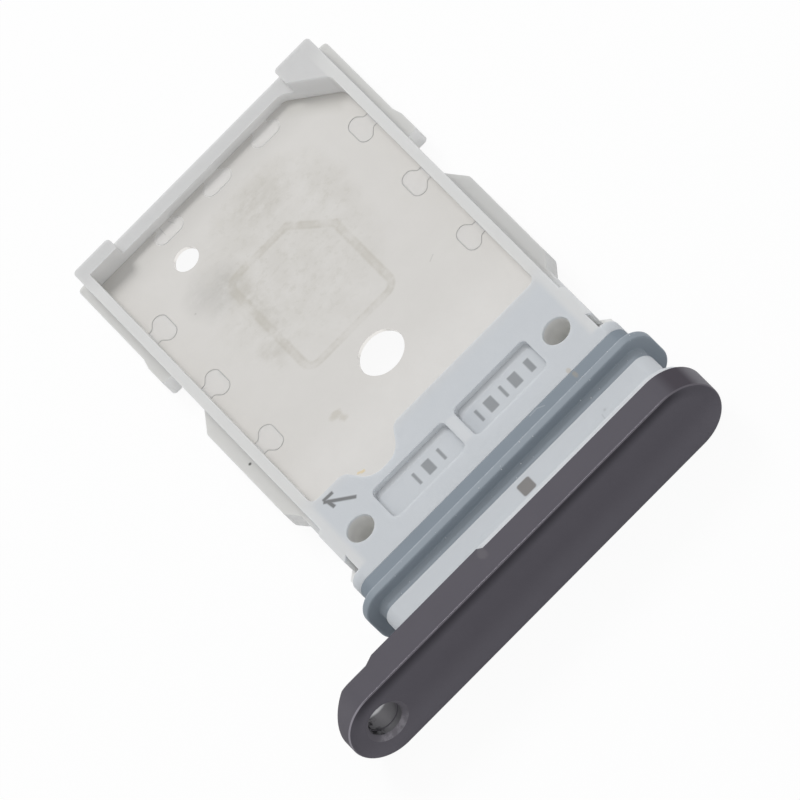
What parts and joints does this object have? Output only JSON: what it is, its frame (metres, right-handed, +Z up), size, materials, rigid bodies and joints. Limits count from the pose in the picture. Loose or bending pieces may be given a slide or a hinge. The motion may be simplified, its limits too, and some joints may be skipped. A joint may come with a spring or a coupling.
{
  "type": "sim card tray",
  "caption": "Sim card tray with a steel card plate moulded into a plastic frame, a rubber seal round its plug and a dark metal face bar with an ejector hole.",
  "frame": {"origin": "centre of the bounding box at its lowest level, where the face bar's lower edge rests", "axes": "+Y the way the tray slides into the phone, +X along the face bar with the ejector hole at -X, +Z up from the card plate"},
  "size_m": [0.0142, 0.02, 0.0025],
  "materials": {
    "plate_steel": "matt, lightly stained",
    "frame_plastic": "satin pale grey",
    "seal_rubber": "satin blue grey",
    "bar_metal": "dark anodised, bead blasted"
  },
  "bodies": {
    "root": {"steel_plate": "plate_steel", "plastic_frame": "frame_plastic", "seal_ring": "seal_rubber", "face_bar": "bar_metal"}
  },
  "joints": []
}
